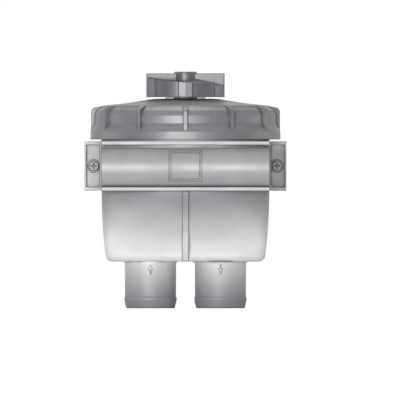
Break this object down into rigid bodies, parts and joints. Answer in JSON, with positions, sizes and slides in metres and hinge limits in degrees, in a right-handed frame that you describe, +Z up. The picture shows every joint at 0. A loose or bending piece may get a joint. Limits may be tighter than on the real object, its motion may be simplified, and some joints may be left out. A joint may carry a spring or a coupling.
{
  "type": "sea water strainer",
  "caption": "Sea water strainer: moulded housing with two hose nozzles underneath, domed lid with a screw knob, lift-out basket and a clamp bracket for a wall.",
  "frame": {"origin": "On the neck's upright axis, at the plane of the hose nozzles' open ends, which the part stands on; this is also the middle of the box's underside.", "axes": "+Z up along the tie rod, +X to the right seen from the front (the outlet's side), +Y from the front cover to the wall plate."},
  "size_m": [0.15, 0.146, 0.176],
  "materials": {
    "housing_plastic": "moulded, satin, mid grey",
    "lid_plastic": "moulded, satin, mid grey",
    "knob_plastic": "moulded, satin, grey",
    "bracket_plastic": "moulded, satin, pale grey",
    "cover_plastic": "moulded, satin, mid grey",
    "basket_plastic": "moulded, dark grey",
    "washer_plastic": "smooth, off-white",
    "seal_rubber": "moulded, black",
    "brass": "machined",
    "stainless": "bright machined",
    "mesh_steel": "perforated, satin"
  },
  "bodies": {
    "housing": {"housing": "housing_plastic", "rod_insert": "brass", "tie_rod": "stainless", "lid_seal": "seal_rubber", "front_clamp": "bracket_plastic", "front_cover": "cover_plastic", "rear_clamp": "bracket_plastic", "clamp_screw_left": "stainless", "clamp_washer_left": "stainless", "clamp_nut_left": "stainless", "clamp_screw_right": "stainless", "clamp_washer_right": "stainless", "clamp_nut_right": "stainless"},
    "basket": {"basket_frame": "basket_plastic", "basket_mesh": "mesh_steel", "basket_seal": "seal_rubber"},
    "lid": {"lid": "lid_plastic"},
    "knob_seat": {"knob_washer": "washer_plastic", "knob_seal": "seal_rubber"},
    "knob": {"knob": "knob_plastic", "knob_insert": "brass"}
  },
  "joints": [
    {"name": "lid_lift", "type": "slide", "parent": "housing", "child": "lid", "axis": [0, 0, 1], "range_m": [0, 0.12]},
    {"name": "basket_lift", "type": "slide", "parent": "housing", "child": "basket", "axis": [0, 0, 1], "range_m": [0, 0.1]},
    {"name": "knob_rise", "type": "slide", "parent": "lid", "child": "knob_seat", "axis": [0, 0, 1], "range_m": [0, 0.0125]},
    {"name": "knob_turn", "type": "hinge", "parent": "knob_seat", "child": "knob", "pos_m": [0, 0, 0.157], "axis": [0, 0, 1], "range_deg": [0, 2880]}
  ],
  "couplings": [
    {"joint": "basket_lift", "follows": "lid_lift", "ratio": 0.8},
    {"joint": "knob_rise", "follows": "knob_turn", "m_per_rad": 0.00023873}
  ]
}
